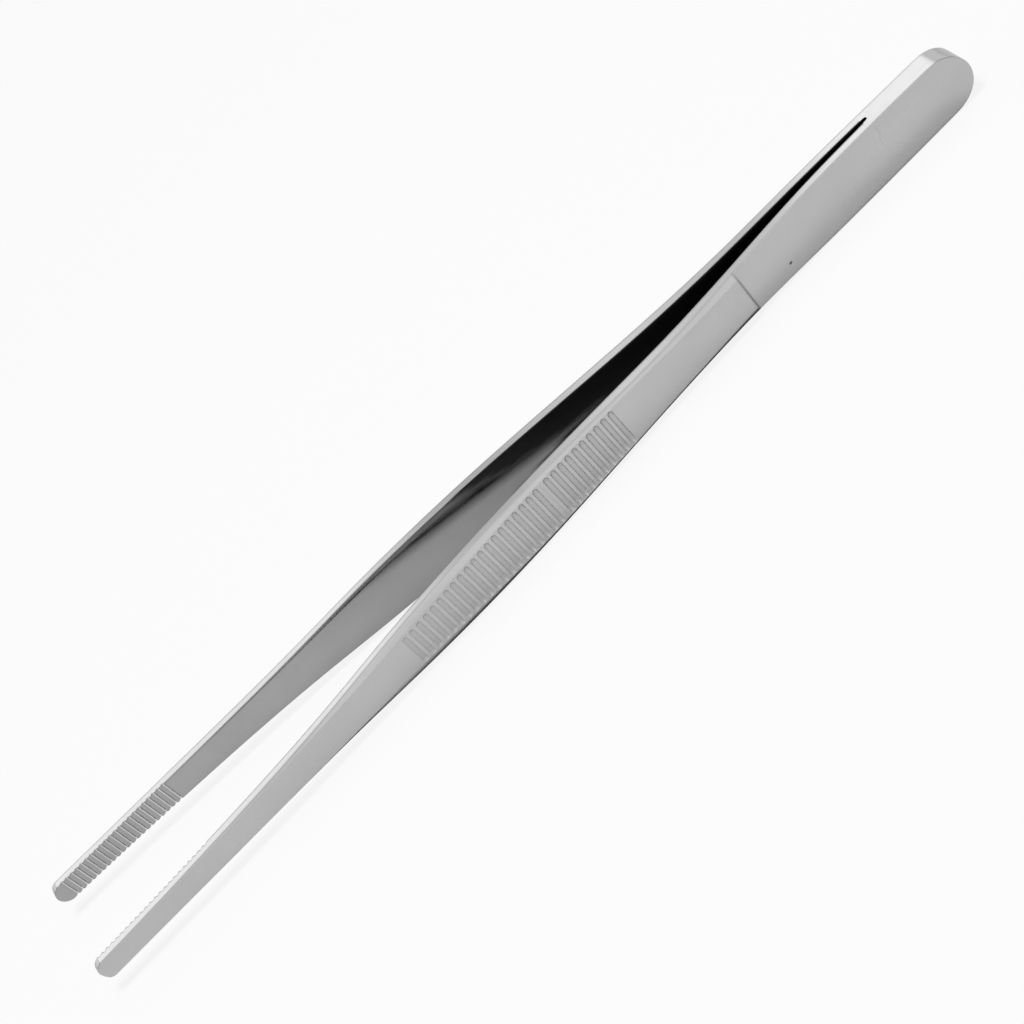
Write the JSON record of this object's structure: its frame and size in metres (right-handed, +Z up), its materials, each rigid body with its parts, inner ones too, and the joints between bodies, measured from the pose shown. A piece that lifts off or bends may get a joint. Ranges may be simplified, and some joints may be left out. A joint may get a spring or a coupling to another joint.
{
  "type": "thumb forceps",
  "caption": "Plain dressing forceps: two spring arms welded at a rounded head, with ridged finger grips and toothed jaws.",
  "frame": {"origin": "bottom centre of the whole, on the surface that the forceps lies on", "axes": "+X from the welded head to the tips, +Y across the opening towards arm_left, +Z up through the width of the arms"},
  "size_m": [0.2, 0.022, 0.0115],
  "materials": {
    "steel": "polished stainless steel with a fine satin haze"
  },
  "bodies": {
    "root": {"arm_left": "steel", "arm_right": "steel"}
  },
  "joints": []
}
